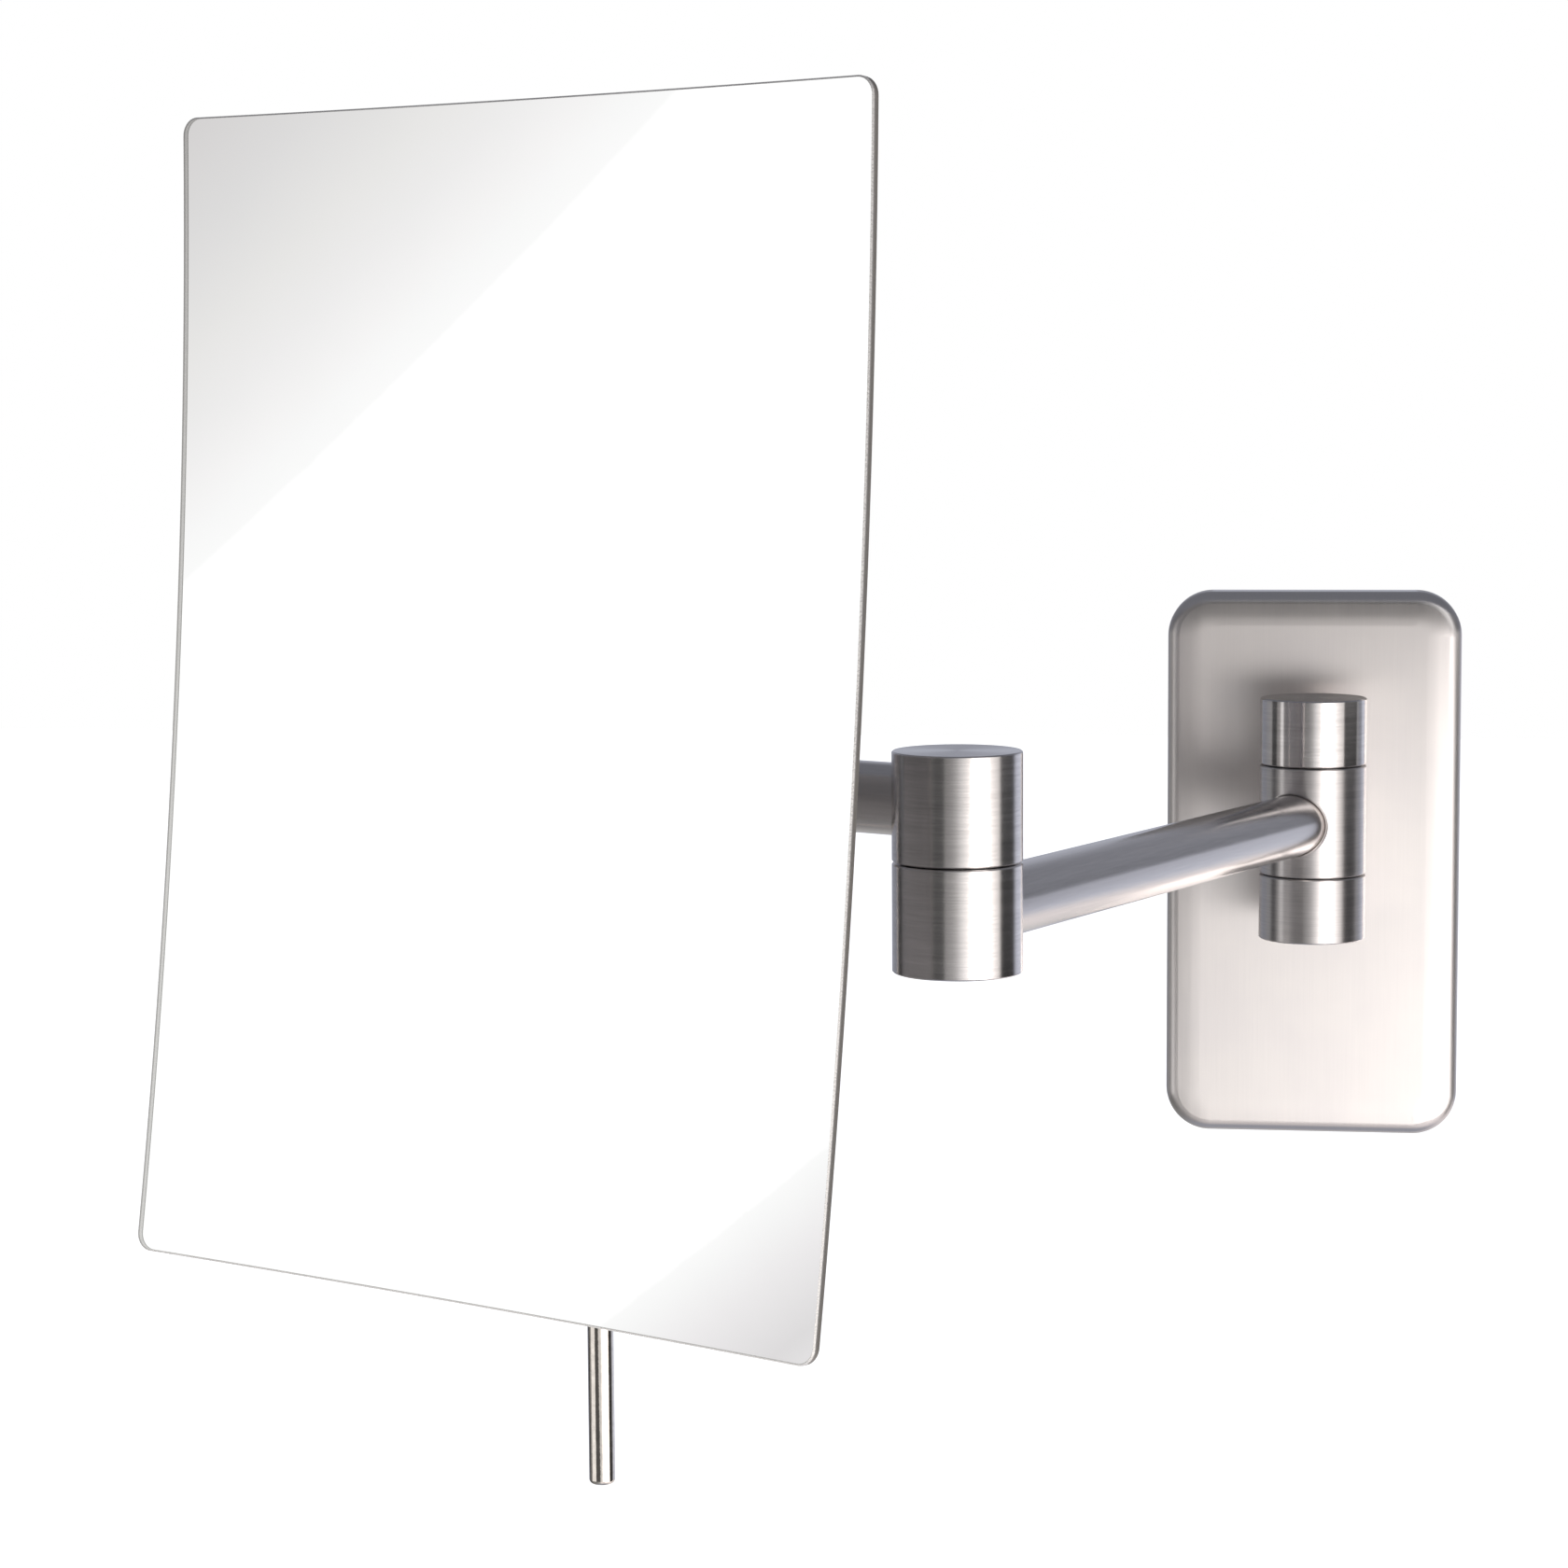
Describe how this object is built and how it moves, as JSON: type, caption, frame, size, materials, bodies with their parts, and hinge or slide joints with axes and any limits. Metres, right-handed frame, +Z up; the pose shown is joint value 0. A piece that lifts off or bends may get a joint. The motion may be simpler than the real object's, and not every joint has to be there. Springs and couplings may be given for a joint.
{
  "type": "extendable shaving mirror",
  "caption": "Wall-mounted rimless rectangular concave mirror on a two-tube folding arm with a swivel post, an elbow, a tilting swivel head and a handle rod.",
  "frame": {"origin": "centre of the wall plate's back, on the wall", "axes": "+Z up, +X right as seen from the room, and +Y into the wall, so the mirror stands out towards -Y"},
  "size_m": [0.2657, 0.2211, 0.2708],
  "materials": {
    "brushed_plate": "satin nickel, brushed upright",
    "brushed_barrel": "satin nickel, turned and brushed round",
    "satin_tube": "satin nickel, polished along the tube",
    "polished_rod": "polished nickel",
    "zinc_steel": "zinc plated",
    "dark_polymer": "moulded acetal",
    "mirror_glass": "silvered glass with a ground edge",
    "backing_sheet": "grey protective backing",
    "foam_pad": "foam tape"
  },
  "bodies": {
    "wall_mount": {"wall_cover": "brushed_plate", "wall_bracket": "zinc_steel", "cover_set_screw": "zinc_steel", "stiffener_plate": "zinc_steel", "post_standoffs": "brushed_barrel", "standoff_screws": "zinc_steel", "standoff_washers": "zinc_steel", "post_cap_lower": "brushed_barrel", "post_cap_upper": "brushed_barrel", "post_spindle": "zinc_steel", "post_plug": "dark_polymer", "post_friction_washers": "dark_polymer", "post_spring_washer": "zinc_steel"},
    "main_arm": {"post_knuckle": "brushed_barrel", "post_bushes": "dark_polymer", "main_arm_tube": "satin_tube", "main_arm_pins": "zinc_steel", "elbow_lower_barrel": "brushed_barrel", "elbow_bush": "dark_polymer", "elbow_plug": "dark_polymer"},
    "short_arm": {"elbow_upper_barrel": "brushed_barrel", "elbow_spindle": "zinc_steel", "elbow_friction_washer": "dark_polymer", "elbow_spring_washer": "zinc_steel", "elbow_nut": "zinc_steel", "short_arm_tube": "satin_tube", "short_arm_pins": "zinc_steel", "head_knuckle": "brushed_barrel", "head_bush": "dark_polymer"},
    "swivel_head": {"head_yoke": "brushed_barrel", "handle_rod": "polished_rod", "head_friction_washer": "dark_polymer", "head_spring_washer": "zinc_steel", "rod_collar": "brushed_barrel", "collar_grub_screw": "zinc_steel"},
    "mirror_head": {"mirror_glass": "mirror_glass", "mirror_backing": "backing_sheet", "glue_pad": "foam_pad", "mounting_plate": "zinc_steel", "tilt_bracket": "zinc_steel", "bracket_rivets": "zinc_steel", "tilt_bolt": "zinc_steel", "tilt_friction_washers": "dark_polymer", "tilt_spring_washer": "zinc_steel", "tilt_nut": "zinc_steel"}
  },
  "joints": [
    {"name": "wall_swivel", "type": "hinge", "parent": "wall_mount", "child": "main_arm", "pos_m": [0, -0.034, 0.0135], "axis": [0, 0, 1], "range_deg": [-67, 113]},
    {"name": "elbow_swivel", "type": "hinge", "parent": "main_arm", "child": "short_arm", "pos_m": [-0.06369, -0.18404, 0.0226], "axis": [0, 0, 1], "range_deg": [-50, 120]},
    {"name": "head_swivel", "type": "hinge", "parent": "short_arm", "child": "swivel_head", "pos_m": [-0.13886, -0.14373, 0.0414], "axis": [0, 0, 1], "range_deg": [-55, 4]},
    {"name": "head_tilt", "type": "hinge", "parent": "swivel_head", "child": "mirror_head", "pos_m": [-0.14518, -0.15623, 0.04805], "axis": [0.8926, -0.4509, 0], "range_deg": [-20, 8]}
  ]
}
